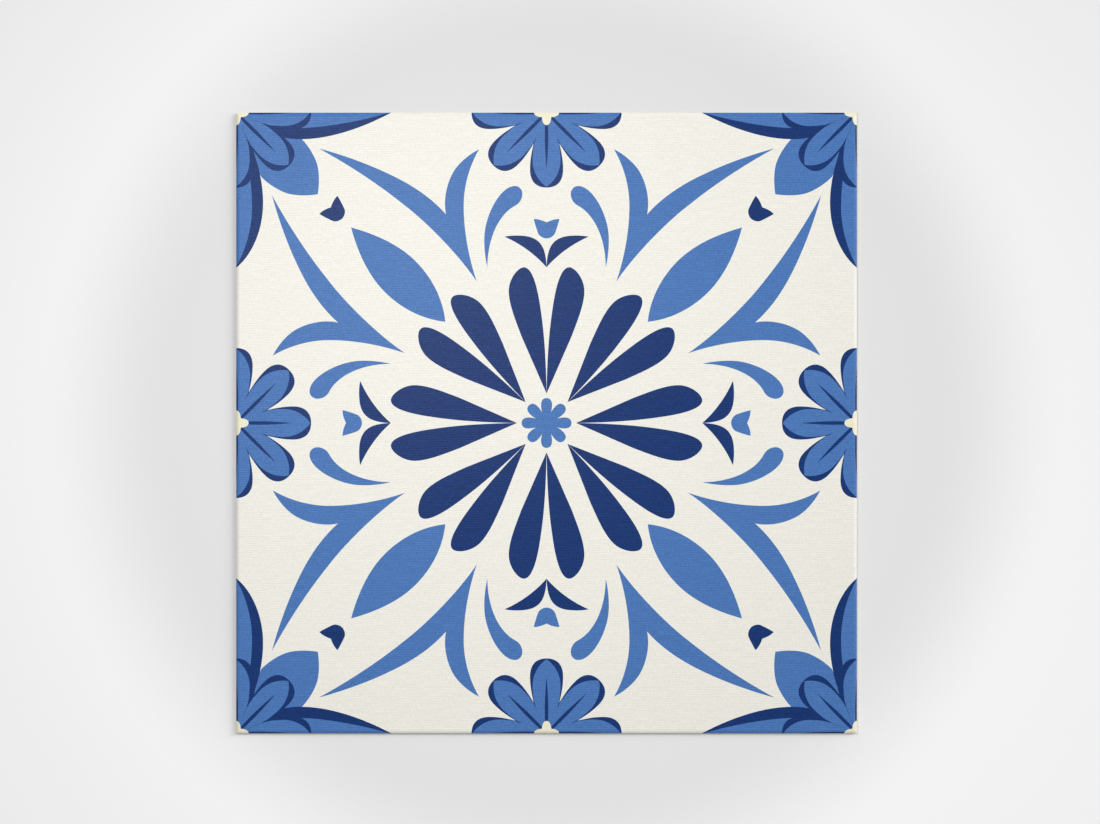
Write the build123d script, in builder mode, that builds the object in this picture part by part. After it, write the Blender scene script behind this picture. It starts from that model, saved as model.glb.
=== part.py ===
"""Self-adhesive vinyl tile, 20 cm square, lying face up on its release liner.

The origin is at the centre of the underside, +Z points out of the printed face,
and X and Y run along the edges. All sizes are in millimetres.
"""

import os

from build123d import *

# Driving dimensions
tile_side = 200.0  # also the pitch of the grid that such tiles are laid on
vinyl_thickness = 1.5  # printed face, vinyl and adhesive coat, bonded into one sheet
edge_roll_width = 1.2  # how far in from the cut edge the printed face starts to roll over
edge_roll_drop = 0.5  # how far the face has dropped where it meets the cut edge
corner_radius = 0.3  # round that the die leaves on each corner, seen from above
liner_thickness = 0.12  # silicone-coated paper under the adhesive

# The face rolls over on an arc that leaves the flat level and ends at the cut edge
edge_roll_radius = (edge_roll_width**2 + edge_roll_drop**2) / (2 * edge_roll_drop)

# Levels and half sizes that follow from them
half_side = tile_side / 2
vinyl_underside = liner_thickness
printed_face_level = vinyl_underside + vinyl_thickness
cut_edge_top = printed_face_level - edge_roll_drop
flat_half_side = half_side - edge_roll_width


def rolled_section(plane):
    """The plate's section across one pair of edges, drawn on a plane through its middle."""
    with BuildSketch(plane) as section:
        with BuildLine():
            Polyline(
                (0, printed_face_level),
                (0, vinyl_underside),
                (half_side, vinyl_underside),
                (half_side, cut_edge_top),
            )
            RadiusArc(
                (half_side, cut_edge_top),
                (flat_half_side, printed_face_level),
                -edge_roll_radius,
            )
            Line((flat_half_side, printed_face_level), (0, printed_face_level))
        make_face()
        mirror(about=Plane.YZ)
    return section.sketch


# The vinyl plate: the rolled section runs both ways, and a rounded square trims it
with BuildPart() as vinyl_tile:
    extrude(rolled_section(Plane.XZ), amount=half_side, both=True)
    extrude(rolled_section(Plane.YZ), amount=half_side, both=True, mode=Mode.INTERSECT)
    with BuildSketch(Plane.XY.offset(vinyl_underside)):
        RectangleRounded(tile_side, tile_side, corner_radius)
    extrude(amount=vinyl_thickness, mode=Mode.INTERSECT)

vinyl_tile.part.label = "vinyl_tile"

# The release liner: the paper sheet that is peeled off, cut by the same die
with BuildPart() as release_liner:
    with BuildSketch():
        RectangleRounded(tile_side, tile_side, corner_radius)
    extrude(amount=liner_thickness)

release_liner.part.label = "release_liner"

os.makedirs("parts", exist_ok=True)
export_step(vinyl_tile.part, "parts/vinyl_tile.step")
export_step(release_liner.part, "parts/release_liner.step")
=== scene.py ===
"""Looks of the self-adhesive vinyl tile: its print, embossed face, cut edge and paper liner.

The tile lies face up on its liner, centred on the origin. Outlines and levels are in
millimetres and become metres where a mesh is made. The print has no shades of its own:
every ornament is one flat ink. Its colour is painted paler on the threads of the linen emboss
and deeper between them, as painted sheen and shade, and the bump and the lamps do the rest.
"""

from collections import Counter
from math import asin, cos, pi, radians, sin, sqrt

import bpy
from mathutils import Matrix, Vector
from mathutils.geometry import delaunay_2d_cdt


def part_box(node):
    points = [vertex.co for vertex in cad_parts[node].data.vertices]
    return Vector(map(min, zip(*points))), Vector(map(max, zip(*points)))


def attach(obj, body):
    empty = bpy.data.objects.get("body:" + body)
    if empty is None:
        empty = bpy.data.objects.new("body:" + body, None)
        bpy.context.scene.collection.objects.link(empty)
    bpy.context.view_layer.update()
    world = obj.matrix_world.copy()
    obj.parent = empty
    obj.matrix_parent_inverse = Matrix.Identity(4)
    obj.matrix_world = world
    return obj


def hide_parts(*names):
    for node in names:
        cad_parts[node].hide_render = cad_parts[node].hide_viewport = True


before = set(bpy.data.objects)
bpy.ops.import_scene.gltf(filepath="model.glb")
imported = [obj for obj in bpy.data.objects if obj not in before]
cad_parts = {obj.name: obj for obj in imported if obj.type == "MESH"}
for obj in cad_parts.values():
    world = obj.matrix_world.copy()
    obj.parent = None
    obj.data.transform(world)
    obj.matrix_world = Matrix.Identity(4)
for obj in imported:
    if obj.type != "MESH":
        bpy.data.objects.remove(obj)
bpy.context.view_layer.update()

# Sizes of the plate, from its solid
MM = 0.001
low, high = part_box("vinyl_tile")
HALF_SIDE = round(high.x / MM, 3)
UNDERSIDE = round(low.z / MM, 3)
FACE_LEVEL = round(high.z / MM, 3)

# The printed face rolls over towards the cut edge on an arc
ROLL_WIDTH = 1.2
ROLL_DROP = 0.5
ROLL_RADIUS = (ROLL_WIDTH**2 + ROLL_DROP**2) / (2 * ROLL_DROP)
ROLL_STEPS = 8
FLAT_HALF_SIDE = HALF_SIDE - ROLL_WIDTH
CORNER_RADIUS = 0.3
CORNER_STEPS = 8

# Layers seen on the cut edge, from below
ADHESIVE_THICKNESS = 0.14
CLEAR_FILM_THICKNESS = 0.16

# Outlines of the print
# An outline is a start point, then corners, each (x, y), and curves, each [handle, handle, end].
# A half outline starts and ends on its own axis, x = 0, and its mirror image closes it.
CURVE_STEPS = 18
TOUCHING = 0.0001  # points closer than this are one point

ROSETTE_PETAL = [
    (0.0, 9.5),
    [(0.15, 18.8), (0.57, 27.9), (1.92, 36.7)],
    [(2.79, 42.9), (4.36, 50.15), (7.3, 50.15)],
    [(9.25, 50.15), (12.28, 46.3), (12.18, 42.3)],
    [(12.1, 38.0), (9.88, 32.8), (8.15, 28.1)],
]
CENTRE_LOBE_HALF = [
    (0.0, 0.0),
    (1.3, 3.05),
    [(1.49, 3.6), (1.78, 4.7), (1.78, 5.75)],
    [(1.78, 7.27), (1.08, 8.03), (0.0, 8.03)],
]
TULIP_HALF = [
    (0.0, 0.0),
    [(1.2, 0.0), (2.5, 0.85), (2.8, 1.85)],
    [(3.2, 2.95), (3.75, 4.6), (4.15, 6.25)],
    [(2.6, 6.3), (1.2, 5.75), (0.0, 5.15)],
]
LEAF_PAIR = [
    (0.0, 50.15),
    [(0.23, 57.6), (2.5, 60.35), (9.3, 60.38)],
    [(10.85, 60.4), (12.35, 60.28), (13.6, 60.0)],
    [(9.3, 58.2), (4.1, 54.85), (0.0, 50.15)],
]
DROP = [
    (19.07, 50.15),
    [(19.75, 53.0), (20.13, 56.5), (20.05, 59.6)],
    [(20.0, 66.65), (14.95, 76.35), (10.2, 76.35)],
    [(8.86, 76.35), (7.85, 75.25), (7.8, 73.9)],
    [(7.75, 72.28), (8.67, 70.76), (10.0, 70.06)],
    [(15.4, 67.25), (19.0, 59.5), (19.07, 50.15)],
]
SPRAY = [
    (22.45, 45.5),
    [(24.88, 52.5), (26.78, 61.8), (26.68, 70.5)],
    [(26.58, 76.9), (24.64, 83.2), (21.72, 88.15)],
    [(24.62, 86.78), (28.85, 83.5), (30.5, 79.95)],
    [(31.95, 77.2), (33.42, 72.0), (32.37, 67.15)],
    [(37.08, 72.62), (43.6, 76.8), (50.0, 79.83)],
    [(56.6, 83.06), (65.0, 86.2), (73.4, 88.45)],
    [(64.2, 83.47), (54.2, 76.95), (46.17, 70.46)],
    [(38.5, 64.73), (27.65, 53.45), (22.45, 45.5)],
]
LENS_LEAF_HALF = [
    (0.0, 46.1),
    [(4.68, 51.85), (7.04, 59.2), (7.02, 66.8)],
    [(7.0, 73.95), (4.27, 81.65), (0.0, 89.05)],
]
CORNER_LEAF_HALF = [
    (0.0, 104.2),
    [(2.45, 106.0), (5.4, 108.7), (6.9, 111.6)],
    [(8.1, 114.1), (8.95, 117.5), (8.95, 121.0)],
    (6.0, 130.0),
    (0.0, 132.0),
]
EDGE_LEAF_LEVEL = [
    (50.0, 100.0),
    [(57.1, 96.1), (69.2, 91.1), (80.0, 91.42)],
    [(82.0, 91.45), (83.8, 91.7), (85.5, 92.17)],
    (92.5, 96.5),
    (92.5, 100.0),
]
EDGE_LEAF_LEVEL_LIGHT = [
    (50.6, 100.0),
    [(56.8, 98.0), (70.0, 95.15), (79.5, 95.0)],
    (84.0, 100.0),
]
EDGE_LEAF_UPRIGHT = [
    (50.0, 100.0),
    [(53.5, 95.4), (61.5, 91.26), (71.0, 91.3)],
    [(74.3, 91.32), (77.2, 91.7), (80.0, 92.3)],
    [(83.5, 92.95), (85.5, 94.0), (88.3, 94.37)],
    (93.0, 96.5),
    (93.0, 100.0),
]
EDGE_LEAF_UPRIGHT_LIGHT = [
    (50.4, 100.0),
    [(54.2, 97.6), (61.8, 94.92), (69.0, 94.88)],
    [(72.5, 94.85), (76.0, 95.07), (79.0, 95.55)],
    (84.0, 100.0),
]
FLOWER_PETAL_HALF = [
    (0.0, 0.0),
    (4.15, 10.0),
    [(4.5, 11.6), (5.33, 14.8), (5.33, 18.1)],
    [(5.42, 22.05), (3.52, 24.17), (0.0, 24.17)],
]
EDGE_FLOWER_LIGHT_HALF = [
    (0.0, 0.0),
    (3.9, 9.42),
    [(4.15, 10.9), (4.5, 13.2), (4.5, 15.4)],
    [(4.5, 19.05), (2.5, 22.25), (0.0, 23.9)],
]
CORNER_FLOWER_LIGHT_HALF = [
    (0.0, 0.0),
    (3.85, 9.42),
    [(4.05, 10.9), (4.36, 13.2), (4.36, 15.4)],
    [(4.36, 19.1), (2.42, 22.2), (0.0, 23.8)],
]
EDGE_FLOWER_NOTCH_HALF = [
    (0.0, 8.5),
    (0.12, 9.7),
    (0.16, 10.5),
    (0.0, 10.95),
]
CORNER_FLOWER_NOTCH_HALF = [
    (0.0, 8.3),
    (0.13, 9.5),
    (0.3, 10.9),
    (0.51, 12.28),
    (0.0, 12.6),
]
FLOWER_VEIN_HALF = [
    (0.0, 1.9),
    (0.42, 1.9),
    [(0.5, 3.4), (0.57, 5.3), (0.57, 7.5)],
    [(0.57, 11.0), (0.3, 14.8), (0.0, 18.2)],
]
FLOWER_EYE_HALF = [
    (0.0, 0.0),
    (1.5, 1.5),
    [(1.4, 3.2), (0.82, 4.03), (0.0, 4.03)],
]
TULIP_DISTANCE = 59.45
BUD_DISTANCE = 93.11


def trace(outline):
    """The points along an outline."""
    points = [outline[0]]
    for part in outline[1:]:
        if isinstance(part, tuple):
            points.append(part)
            continue
        start = Vector(points[-1])
        first, second, end = (Vector(p) for p in part)
        for k in range(1, CURVE_STEPS + 1):
            t = k / CURVE_STEPS
            u = 1 - t
            point = u**3 * start + 3 * t * u * u * first + 3 * t * t * u * second + t**3 * end
            points.append(tuple(point))
    closed = (Vector(points[-1]) - Vector(points[0])).length < TOUCHING
    return points[:-1] if closed else points


def whole(half):
    """The points of a half outline and of its mirror image."""
    points = trace(half)
    return points + [(-x, y) for x, y in reversed(points[1:-1])]


def around(points, count, start=0.0, centre=(0.0, 0.0)):
    """Copies of a shape, turned evenly about a centre. A turn takes +Y towards +X."""
    copies = []
    for k in range(count):
        turn = radians(start + 360 * k / count)
        c, s = cos(turn), sin(turn)
        copies.append([(centre[0] + x * c + y * s, centre[1] - x * s + y * c) for x, y in points])
    return copies


def both_hands(points, count):
    """Turned copies of a shape and of its mirror image."""
    return around(points, count) + around([(-x, y) for x, y in points], count)


def in_four_quarters(points):
    """A shape and its mirror images about both middle lines."""
    return [[(sx * x, sy * y) for x, y in points] for sx in (1, -1) for sy in (1, -1)]


def swapped(points):
    """A shape with x and y exchanged."""
    return [(y, x) for x, y in points]


def counter_clockwise(points):
    """The same shape, with its points running counter-clockwise."""
    area = sum(a[0] * b[1] - b[0] * a[1] for a, b in zip(points, points[1:] + points[:1]))
    return points if area > 0 else points[::-1]


def print_layers():
    """The ornaments as (ink, points), from the first ink laid down to the last."""
    layers = []

    def lay(ink, shapes):
        layers.extend((ink, counter_clockwise(shape)) for shape in shapes)

    lay("blue", around(whole(CORNER_LEAF_HALF), 4, start=45))
    lay("dark blue", in_four_quarters(trace(EDGE_LEAF_LEVEL)))
    lay("dark blue", in_four_quarters(swapped(trace(EDGE_LEAF_UPRIGHT))))
    lay("blue", in_four_quarters(trace(EDGE_LEAF_LEVEL_LIGHT)))
    lay("blue", in_four_quarters(swapped(trace(EDGE_LEAF_UPRIGHT_LIGHT))))

    # Flowers are centred on the corners and on the middles of the edges
    middles = (-HALF_SIDE, 0.0, HALF_SIDE)
    flowers = [(x, y) for x in middles for y in middles if x or y]
    on_corners = [(x, y) for x, y in flowers if x and y]
    on_edges = [(x, y) for x, y in flowers if not (x and y)]
    for ink, outline, count, start, centres in (
        ("dark blue", FLOWER_PETAL_HALF, 8, 0.0, flowers),
        ("blue", EDGE_FLOWER_LIGHT_HALF, 8, 0.0, on_edges),
        ("blue", CORNER_FLOWER_LIGHT_HALF, 8, 0.0, on_corners),
        ("dark blue", EDGE_FLOWER_NOTCH_HALF, 8, 22.5, on_edges),
        ("dark blue", CORNER_FLOWER_NOTCH_HALF, 8, 22.5, on_corners),
        ("dark blue", FLOWER_VEIN_HALF, 8, 0.0, flowers),
        ("yellow", FLOWER_EYE_HALF, 4, 0.0, flowers),
    ):
        for centre in centres:
            lay(ink, around(whole(outline), count, start, centre))

    lay("dark blue", both_hands(trace(ROSETTE_PETAL), 8))
    lay("blue", around(whole(CENTRE_LOBE_HALF), 8))
    lay("blue", both_hands(trace(DROP), 4))
    lay("blue", both_hands(trace(SPRAY), 4))
    lay("dark blue", both_hands(trace(LEAF_PAIR), 4))
    lay("blue", around(whole(LENS_LEAF_HALF), 4, start=45))
    tulip = whole(TULIP_HALF)
    lay("blue", around([(x, y + TULIP_DISTANCE) for x, y in tulip], 4))
    lay("dark blue", around([(x, y + BUD_DISTANCE) for x, y in tulip], 4, start=45))
    return layers


def die_outline():
    """The cut outline: a square with rounded corners, counter-clockwise."""
    points = []
    middle = HALF_SIDE - CORNER_RADIUS
    for quarter, (sx, sy) in enumerate(((1, 1), (-1, 1), (-1, -1), (1, -1))):
        for k in range(CORNER_STEPS + 1):
            turn = pi / 2 * (quarter + k / CORNER_STEPS)
            x = sx * middle + CORNER_RADIUS * cos(turn)
            y = sy * middle + CORNER_RADIUS * sin(turn)
            points.append((x, y))
    return points


def roll_depth(x, y):
    """How far out on the rolled edge a point is. It is 0 where the roll starts."""
    return max(max(abs(x), abs(y)) - FLAT_HALF_SIDE, 0.0)


def face_level(x, y):
    """Height of the printed face."""
    return FACE_LEVEL - ROLL_RADIUS + sqrt(ROLL_RADIUS**2 - roll_depth(x, y) ** 2)


def face_normal(x, y, side):
    """Normal of the printed face on one side's roll. side is the direction that it faces."""
    lean = roll_depth(x, y) / ROLL_RADIUS
    return (side[0] * lean, side[1] * lean, sqrt(1 - lean * lean))


def facing_side(x, y):
    """Direction of the edge that a point is nearest to."""
    if abs(x) > abs(y):
        return (1.0 if x > 0 else -1.0, 0.0)
    return (0.0, 1.0 if y > 0 else -1.0)


def edge_normal(x, y):
    """Normal of the cut edge, which turns smoothly round each corner."""
    middle = HALF_SIDE - CORNER_RADIUS
    out = Vector((max(abs(x) - middle, 0.0), max(abs(y) - middle, 0.0))).normalized()
    return (out.x if x > 0 else -out.x, out.y if y > 0 else -out.y, 0.0)


def divide_face(layers):
    """Divides the printed face along every outline. Returns its points and its (triangle, ink)."""
    points, edges, faces = [], [], []

    def add(shape):
        first = len(points)
        points.extend(Vector(p) for p in shape)
        return list(range(first, len(points)))

    faces.append(add(die_outline()))
    for _, shape in layers:
        faces.append(add(shape))

    # Rings that carry the rolled edge's curve, and the mitres where two rolls meet
    slope = asin(ROLL_WIDTH / ROLL_RADIUS)
    for k in range(ROLL_STEPS):
        reach = FLAT_HALF_SIDE + ROLL_RADIUS * sin(slope * k / ROLL_STEPS)
        ring = add([(reach, reach), (-reach, reach), (-reach, -reach), (reach, -reach)])
        edges.extend(zip(ring, ring[1:] + ring[:1]))
    for sx in (1, -1):
        for sy in (1, -1):
            inner = (sx * FLAT_HALF_SIDE, sy * FLAT_HALF_SIDE)
            outer = (sx * HALF_SIDE, sy * HALF_SIDE)
            edges.append(tuple(add([inner, outer])))

    # Every triangle is kept, with the shapes that it lies in. The last of them is the ink on top.
    keep_all = 0
    places, _, triangles, _, _, sources = delaunay_2d_cdt(
        points, edges, faces, keep_all, TOUCHING, True
    )
    inks = ["cream"] + [ink for ink, _ in layers]
    inked = [
        (list(triangle), inks[max(source)])
        for triangle, source in zip(triangles, sources)
        if 0 in source
    ]
    return [(p.x, p.y) for p in places], inked


MATERIAL_ORDER = ["cream", "blue", "dark blue", "yellow", "clear film", "core", "adhesive"]

# Shares of the piece's own texture map: the printed face fills most of it, the cut edge
# has four strips beside the face, and the plain back a small square above it
MAP_MARGIN = 0.005
FACE_SHARE = 0.93
STRIP_START = 0.945
STRIP_WIDTH = 0.01
STRIP_STEP = 0.0125
BACK_SHARE = 0.05


def share(place):
    """How far along the tile's side a place is, from 0 to 1."""
    return (place + HALF_SIDE) / (2 * HALF_SIDE)


def face_on_map(x, y):
    """Place of a point of the printed face on the map."""
    return (MAP_MARGIN + share(x) * FACE_SHARE, MAP_MARGIN + share(y) * FACE_SHARE)


def edge_on_map(x, y, z, side):
    """Place of a point of the cut edge on the map, in the strip of the side that it faces."""
    strip = ((1.0, 0.0), (0.0, 1.0), (-1.0, 0.0), (0.0, -1.0)).index(side)
    height = (z - UNDERSIDE) / (FACE_LEVEL - ROLL_DROP - UNDERSIDE)
    along = y * side[0] - x * side[1]
    right = STRIP_START + STRIP_STEP * strip + STRIP_WIDTH
    return (right - height * STRIP_WIDTH, MAP_MARGIN + share(along) * FACE_SHARE)


def back_on_map(x, y):
    """Place of a point of the back on the map."""
    return (MAP_MARGIN + share(-x) * BACK_SHARE, STRIP_START + share(y) * BACK_SHARE)


def make_plate():
    """The vinyl plate: printed face, rolled edges, cut edge in layers, and adhesive back."""
    places, inked = divide_face(print_layers())
    used = sorted({corner for triangle, _ in inked for corner in triangle})
    index = {corner: k for k, corner in enumerate(used)}
    verts = [(*places[c], face_level(*places[c])) for c in used]
    faces, inks, normals, mapped = [], [], [], []

    for triangle, ink in inked:
        corners = [index[c] for c in triangle]
        centre = [sum(verts[c][axis] for c in corners) / 3 for axis in (0, 1)]
        side = facing_side(*centre)
        faces.append(corners)
        inks.append(ink)
        normals.extend(face_normal(*verts[c][:2], side) for c in corners)
        mapped.extend(face_on_map(*verts[c][:2]) for c in corners)

    # The cut edge goes down from the rim in three layers
    shared = Counter(frozenset(e) for f in faces for e in zip(f, f[1:] + f[:1]))
    rim = [e for f in faces for e in zip(f, f[1:] + f[:1]) if shared[frozenset(e)] == 1]
    cut_top = FACE_LEVEL - ROLL_DROP
    above = {a: a for a, _ in rim}
    for ink, level in (
        ("clear film", cut_top - CLEAR_FILM_THICKNESS),
        ("core", UNDERSIDE + ADHESIVE_THICKNESS),
        ("adhesive", UNDERSIDE),
    ):
        below = {}
        for corner in above:
            below[corner] = len(verts)
            verts.append((*verts[corner][:2], level))
        for a, b in rim:
            quad = [above[b], above[a], below[a], below[b]]
            side = facing_side(*((verts[a][axis] + verts[b][axis]) / 2 for axis in (0, 1)))
            faces.append(quad)
            inks.append(ink)
            normals.extend(edge_normal(*verts[c][:2]) for c in quad)
            mapped.extend(edge_on_map(*verts[c], side) for c in quad)
        above = below

    # The back is one flat fan
    hub = len(verts)
    verts.append((0.0, 0.0, UNDERSIDE))
    for a, b in rim:
        fan = [hub, above[b], above[a]]
        faces.append(fan)
        inks.append("adhesive")
        normals.extend([(0.0, 0.0, -1.0)] * 3)
        mapped.extend(back_on_map(*verts[c][:2]) for c in fan)

    mesh = bpy.data.meshes.new("printed_tile")
    mesh.from_pydata([Vector(v) * MM for v in verts], [], faces)
    for polygon, ink in zip(mesh.polygons, inks):
        polygon.use_smooth = True
        polygon.material_index = MATERIAL_ORDER.index(ink)
    texture_map = mesh.uv_layers.new(name="OFBake")
    for loop, place in zip(texture_map.data, mapped):
        loop.uv = place
    mesh.update()
    mesh.normals_split_custom_set(normals)
    plate = bpy.data.objects.new("printed_tile", mesh)
    bpy.context.scene.collection.objects.link(plate)
    return plate


def linear(value):
    """A screen level from 0 to 255 as linear light."""
    value /= 255
    return value / 12.92 if value <= 0.04045 else ((value + 0.055) / 1.055) ** 2.4


def colour(red, green, blue, gain=1.0):
    """A colour from screen levels, as a shader takes it."""
    return (*(linear(v) * gain for v in (red, green, blue)), 1.0)


def new_material(name):
    """A material with its node tree, its Principled shader and a helper that adds nodes."""
    material = bpy.data.materials.new(name)
    material.use_nodes = True
    tree = material.node_tree
    shader = tree.nodes["Principled BSDF"]

    def add(kind, inputs=(), **settings):
        node = tree.nodes.new(kind)
        for key, value in settings.items():
            setattr(node, key, value)
        for key, value in dict(inputs).items():
            if isinstance(value, bpy.types.NodeSocket):
                tree.links.new(value, node.inputs[key])
            else:
                node.inputs[key].default_value = value
        return node

    return material, tree, shader, add


def between_values(add, share, first, second):
    """A value at this share of the way between two others. Sockets 2 and 3 take values."""
    inputs = {"Factor": share, 2: first, 3: second}
    return add("ShaderNodeMix", inputs, data_type="FLOAT").outputs[0]


def between_colours(add, share, first, second):
    """A colour at this share of the way between two others. Sockets 6 and 7 take colours."""
    inputs = {"Factor": share, 6: first, 7: second}
    return add("ShaderNodeMix", inputs, data_type="RGBA").outputs[2]


def threads(add, size_x, size_y, thin, soft, seed=0.0):
    """Threads of this size in millimetres, as a value from 0 to 1.

    thin is about the share left between them, and soft how softly they rise from it.
    """
    place = add("ShaderNodeTexCoord").outputs["Object"]
    scale = (1 / (size_x * MM), 1 / (size_y * MM), 1 / MM)
    moved = (seed, seed, 0.0)
    stretched = add("ShaderNodeMapping", {"Vector": place, "Location": moved, "Scale": scale})
    noise = add(
        "ShaderNodeTexNoise",
        {"Vector": stretched.outputs["Vector"], "Scale": 1.0, "Detail": 1.0, "Roughness": 0.4},
        noise_dimensions="2D",
    )
    crisp = add(
        "ShaderNodeMapRange",
        {"Value": noise.outputs["Fac"], "From Min": thin - soft, "From Max": thin + soft},
        interpolation_type="SMOOTHSTEP",
    )
    return crisp.outputs["Result"]


def even_threads(add, pitch):
    """Level threads at this pitch in millimetres, which wander and dip under the upright ones."""
    place = add("ShaderNodeTexCoord").outputs["Object"]
    radians_per_metre = 20  # of a wave texture at a scale of 1
    scale = 2 * pi / (radians_per_metre * pitch * MM)
    wave = add(
        "ShaderNodeTexWave",
        {"Vector": place, "Scale": scale, "Distortion": 2.0, "Detail": 1.0, "Detail Scale": 0.8},
        bands_direction="Y",
    ).outputs["Fac"]
    on_top = threads(add, size_x=2.4, size_y=0.9, thin=0.48, soft=0.12)
    half_way = 0.5
    return between_values(add, on_top, half_way, wave)


def linen(add):
    """Height of the emboss: even level threads, finer upright ones, and a few thick slubs."""
    level = even_threads(add, pitch=0.76)
    upright = threads(add, size_x=0.32, size_y=1.8, thin=0.52, soft=0.08, seed=40.0)
    slub = threads(add, size_x=7.0, size_y=0.45, thin=0.6, soft=0.08, seed=80.0)
    upright_share, slub_share = 0.3, 0.15
    woven = between_values(add, upright_share, level, upright)
    return between_values(add, slub_share, woven, slub)


def printed_vinyl(name, levels, painted_sheen_contrast):
    """One flat ink under the clear film, which is embossed like linen, with painted sheen and
    shade: paler on its threads, deeper between them.
    """
    material, tree, shader, add = new_material(name)
    height = linen(add)
    # Painted sheen and shade: the ink is paled where the emboss rises and deepened where it sinks
    deep, pale = (colour(*levels, gain=gain) for gain in (1 - painted_sheen_contrast, 1 + painted_sheen_contrast))
    tree.links.new(between_colours(add, height, deep, pale), shader.inputs["Base Color"])
    rough = add("ShaderNodeMapRange", {"Value": height, "To Min": 0.42, "To Max": 0.35})
    tree.links.new(rough.outputs["Result"], shader.inputs["Roughness"])
    bump = add("ShaderNodeBump", {"Strength": 1.0, "Distance": 0.00002, "Height": height})
    tree.links.new(bump.outputs["Normal"], shader.inputs["Normal"])
    shader.inputs["Specular IOR Level"].default_value = 0.15
    return material


def cut_vinyl(name, levels, roughness):
    """A layer on the cut edge, with the fine upright marks that the die leaves."""
    material, tree, shader, add = new_material(name)
    place = add("ShaderNodeTexCoord").outputs["Object"]
    mark_width, mark_height = 0.5 * MM, 4 * MM
    scale = (1 / mark_width, 1 / mark_width, 1 / mark_height)
    stretched = add("ShaderNodeMapping", {"Vector": place, "Scale": scale})
    marks = add(
        "ShaderNodeTexNoise",
        {"Vector": stretched.outputs["Vector"], "Scale": 1.0, "Detail": 3.0, "Roughness": 0.6},
    ).outputs["Fac"]
    deep, pale = (colour(*levels, gain=gain) for gain in (0.86, 1.06))
    tree.links.new(between_colours(add, marks, deep, pale), shader.inputs["Base Color"])
    bump = add("ShaderNodeBump", {"Strength": 0.6, "Distance": 0.00004, "Height": marks})
    tree.links.new(bump.outputs["Normal"], shader.inputs["Normal"])
    shader.inputs["Roughness"].default_value = roughness
    return material


def liner_paper():
    """Off-white coated paper with soft cloudiness and short fibres."""
    material, tree, shader, add = new_material("liner_paper")
    place = add("ShaderNodeTexCoord").outputs["Object"]
    cloud = add(
        "ShaderNodeTexNoise", {"Vector": place, "Scale": 120.0, "Detail": 4.0, "Roughness": 0.55}
    ).outputs["Fac"]
    fibre = add(
        "ShaderNodeTexNoise",
        {"Vector": place, "Scale": 1400.0, "Detail": 3.0, "Roughness": 0.6, "Distortion": 1.5},
    ).outputs["Fac"]
    fibre_share = 0.5
    mixed = between_values(add, fibre_share, cloud, fibre)
    tint = between_colours(add, mixed, colour(214, 204, 182), colour(236, 230, 214))
    tree.links.new(tint, shader.inputs["Base Color"])
    bump = add("ShaderNodeBump", {"Strength": 0.5, "Distance": 0.00003, "Height": fibre})
    tree.links.new(bump.outputs["Normal"], shader.inputs["Normal"])
    shader.inputs["Roughness"].default_value = 0.5
    return material


def studio_floor():
    """A plain pale floor, with a painted soft shadow round the tile and painted shade towards the
    small lamp, which evens out its light.
    """
    width = 8.0
    gap = 0.00001  # keeps the floor and the liner's underside from sharing a plane
    bpy.ops.mesh.primitive_plane_add(size=width, location=(0.0, 0.0, -gap))
    floor = bpy.context.object
    floor.name = "studio_floor"
    material, tree, shader, add = new_material("floor_painted_shade")
    place = add("ShaderNodeTexCoord").outputs["Object"]

    # Painted shadow: a soft round patch, deeper in tone, reaches out from under the tile
    shadow_middle = (0.002, 0.0025, 0.0)
    shadow_start, shadow_end = 0.122, 0.168
    distance = add("ShaderNodeVectorMath", {0: place, 1: shadow_middle}, operation="DISTANCE")
    shadow_fade = add(
        "ShaderNodeMapRange",
        {"Value": distance.outputs["Value"], "From Min": shadow_start, "From Max": shadow_end},
        interpolation_type="SMOOTHSTEP",
    ).outputs["Result"]
    shadowed_tone = between_colours(add, shadow_fade, colour(228, 228, 228), colour(249, 249, 249))

    # Painted shade and light: the tone falls towards the side that the small lamp lights more, and
    # rises where it lights less, to even out the lamp's falloff
    lit_side = (-0.22, 0.975, 0.0)
    reach, fall = 0.2, 0.109
    along = add("ShaderNodeVectorMath", {0: place, 1: lit_side}, operation="DOT_PRODUCT")
    ends = {"From Min": -reach, "From Max": reach, "To Min": 1 + fall, "To Max": 1 - fall}
    painted_falloff_fix = add("ShaderNodeMapRange", {"Value": along.outputs["Value"], **ends}).outputs["Result"]
    paint = add("ShaderNodeVectorMath", {0: shadowed_tone, "Scale": painted_falloff_fix}, operation="SCALE")
    tree.links.new(paint.outputs["Vector"], shader.inputs["Base Color"])
    shader.inputs["Roughness"].default_value = 0.9
    shader.inputs["Specular IOR Level"].default_value = 0.1
    floor.data.materials.append(material)


def soft_lamp(name, azimuth, elevation, distance, size, level):
    """A square lamp that faces the tile.

    Azimuth is from +X towards +Y, sizes are in metres, and level is the light that it adds.
    """
    a, e = radians(azimuth), radians(elevation)
    toward = Vector((cos(e) * cos(a), cos(e) * sin(a), sin(e)))
    data = bpy.data.lights.new(name, "AREA")
    data.shape = "SQUARE"
    data.size = size
    # A lamp of this power lights a flat white face at the origin to the given level
    data.energy = level * pi * pi * distance**2 / sin(e)
    lamp = bpy.data.objects.new(name, data)
    lamp.location = toward * distance
    lamp.rotation_euler = toward.to_track_quat("Z", "Y").to_euler()
    lamp.visible_camera = False
    bpy.context.scene.collection.objects.link(lamp)


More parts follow.
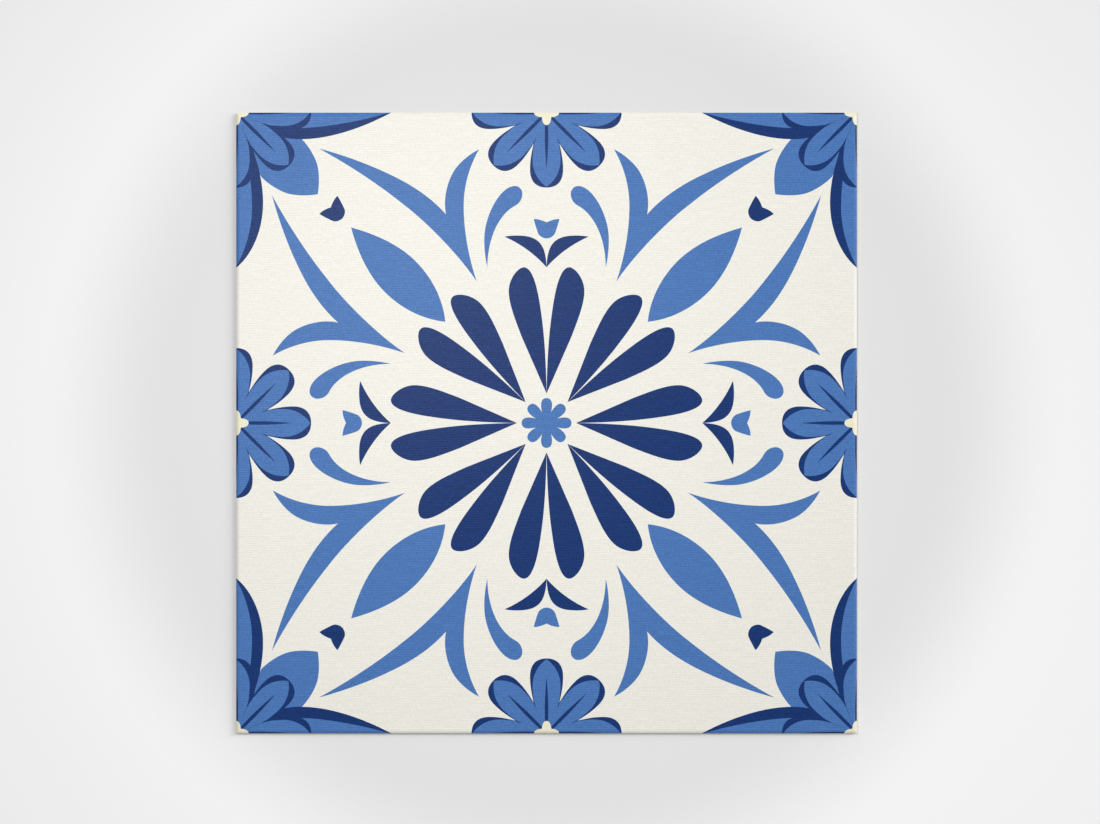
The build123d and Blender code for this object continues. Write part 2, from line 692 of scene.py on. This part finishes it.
def surroundings(level, shown):
    """Even light from all round, and the pale background that shows past the floor."""
    world = bpy.data.worlds.new("studio")
    bpy.context.scene.world = world
    world.use_nodes = True
    tree = world.node_tree
    light = tree.nodes["Background"]
    light.inputs["Color"].default_value = (1.0, 1.0, 1.0, 1.0)
    light.inputs["Strength"].default_value = level
    backdrop = tree.nodes.new("ShaderNodeBackground")
    backdrop.inputs["Color"].default_value = (1.0, 1.0, 1.0, 1.0)
    backdrop.inputs["Strength"].default_value = shown
    path = tree.nodes.new("ShaderNodeLightPath")
    seen = path.outputs["Is Camera Ray"]
    for kind in ("Is Glossy Ray", "Is Transmission Ray"):
        either = tree.nodes.new("ShaderNodeMath")
        either.operation = "MAXIMUM"
        tree.links.new(seen, either.inputs[0])
        tree.links.new(path.outputs[kind], either.inputs[1])
        seen = either.outputs[0]
    mix = tree.nodes.new("ShaderNodeMixShader")
    tree.links.new(seen, mix.inputs[0])
    tree.links.new(light.outputs[0], mix.inputs[1])
    tree.links.new(backdrop.outputs[0], mix.inputs[2])
    tree.links.new(mix.outputs[0], tree.nodes["World Output"].inputs["Surface"])


# The tile
plate = make_plate()
looks = {
    "cream": printed_vinyl("print_cream", (238, 236, 227), painted_sheen_contrast=0.095),
    "blue": printed_vinyl("print_blue", (74, 118, 181), painted_sheen_contrast=0.23),
    "dark blue": printed_vinyl("print_dark_blue", (11, 49, 109), painted_sheen_contrast=0.44),
    "yellow": printed_vinyl("print_yellow", (239, 234, 207), painted_sheen_contrast=0.095),
    "clear film": cut_vinyl("cut_clear_film", (206, 210, 214), roughness=0.35),
    "core": cut_vinyl("cut_core", (196, 194, 188), roughness=0.6),
    "adhesive": cut_vinyl("cut_adhesive", (188, 181, 163), roughness=0.4),
}
for name in MATERIAL_ORDER:
    plate.data.materials.append(looks[name])
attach(plate, "root")
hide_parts("vinyl_tile")

# The liner keeps its solid
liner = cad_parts["release_liner"]
liner.data.materials.clear()
liner.data.materials.append(liner_paper())

# Studio
studio_floor()
soft_lamp("key", azimuth=24, elevation=30, distance=2.8, size=1.6, level=0.305)
soft_lamp("sheen", azimuth=128, elevation=73.5, distance=0.39, size=0.155, level=0.405)
surroundings(level=0.37, shown=0.86)

# Camera, straight above, with the photograph's framing
VIEW_WIDTH = 354.3  # what the picture's width takes in at the level of the face
AIM_X, AIM_Y = 1.11, 3.54
LENS, SENSOR = 85, 36  # focal length and width of the sensor
camera_data = bpy.data.cameras.new("camera")
camera_data.lens = LENS
camera_data.sensor_width = SENSOR
camera = bpy.data.objects.new("camera", camera_data)
camera_level = FACE_LEVEL + VIEW_WIDTH * LENS / SENSOR
camera.location = (AIM_X * MM, AIM_Y * MM, camera_level * MM)
bpy.context.scene.collection.objects.link(camera)
bpy.context.scene.camera = camera

bpy.context.scene.view_settings.view_transform = "Standard"
